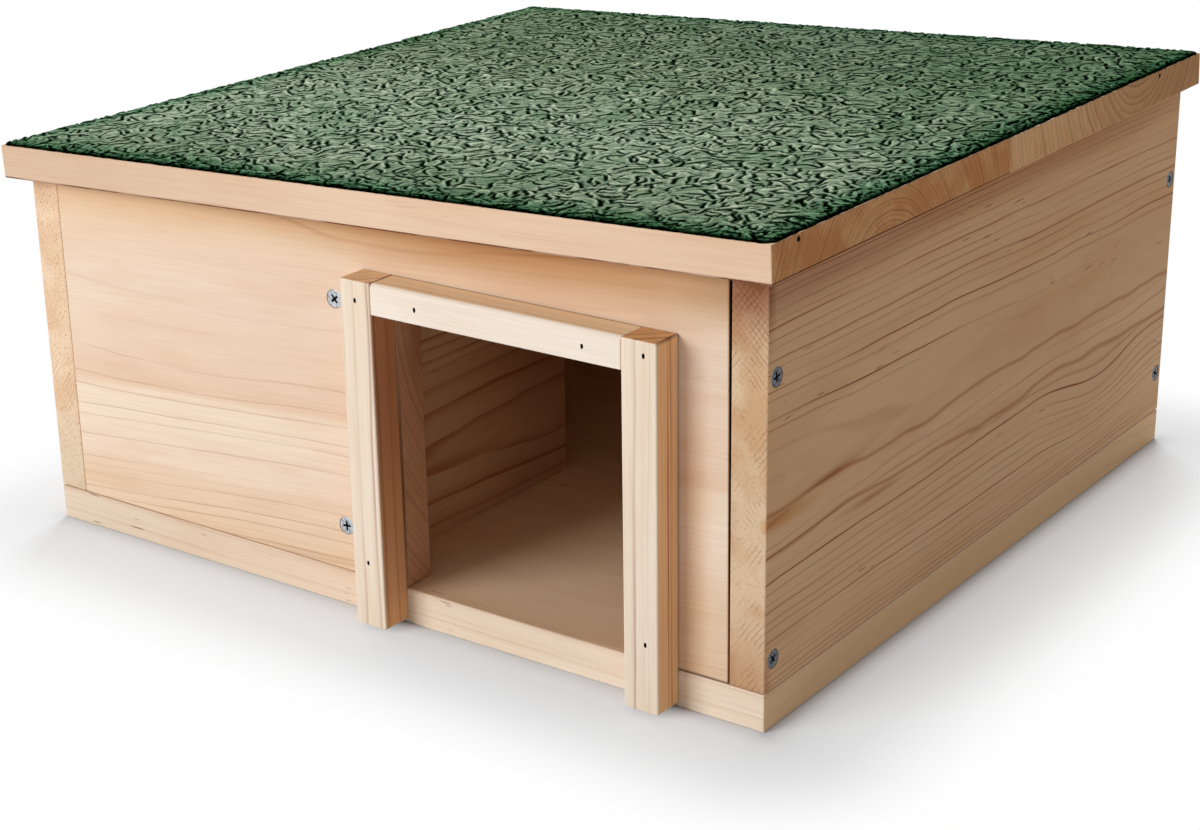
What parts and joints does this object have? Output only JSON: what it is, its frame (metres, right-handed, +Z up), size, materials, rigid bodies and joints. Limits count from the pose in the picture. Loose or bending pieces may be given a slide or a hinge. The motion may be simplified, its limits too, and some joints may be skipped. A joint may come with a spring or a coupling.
{
  "type": "hedgehog house",
  "caption": "Low square pine house for a hedgehog, with a framed doorway, an inner partition and a sloping lift-off roof covered in crinkled green felt.",
  "frame": {"origin": "centre of the underside of the floor, on the ground", "axes": "+Z up, the front with the doorway looks along -Y, +X to the right seen from the front"},
  "size_m": [0.4573, 0.4545, 0.2255],
  "materials": {
    "pine_board": "bare planed pine, matte",
    "pine_batten": "bare planed pine, matte",
    "roofing_felt": "crinkled, matte with dull highlights",
    "zinc_screw": "zinc plated, satin",
    "steel_brad": "dull, lightly rusted"
  },
  "bodies": {
    "house": {"floor_front_board": "pine_board", "floor_back_board": "pine_board", "front_wall": "pine_board", "back_wall": "pine_board", "left_wall": "pine_board", "right_wall": "pine_board", "partition_wall": "pine_board", "door_post_left": "pine_batten", "door_post_right": "pine_batten", "door_lintel": "pine_batten", "door_frame_brads": "steel_brad", "left_wall_screws": "zinc_screw", "right_wall_screws": "zinc_screw", "partition_screws": "zinc_screw", "floor_screws": "zinc_screw"},
    "roof": {"roof_front_board": "pine_board", "roof_back_board": "pine_board", "roof_felt": "roofing_felt", "roof_batten_left": "pine_board", "roof_batten_right": "pine_board", "roof_batten_screws": "zinc_screw", "roof_edge_brads": "steel_brad"}
  },
  "joints": [
    {"name": "roof_lift", "type": "slide", "parent": "house", "child": "roof", "axis": [0, 0, 1], "range_m": [0, 0.25]}
  ]
}
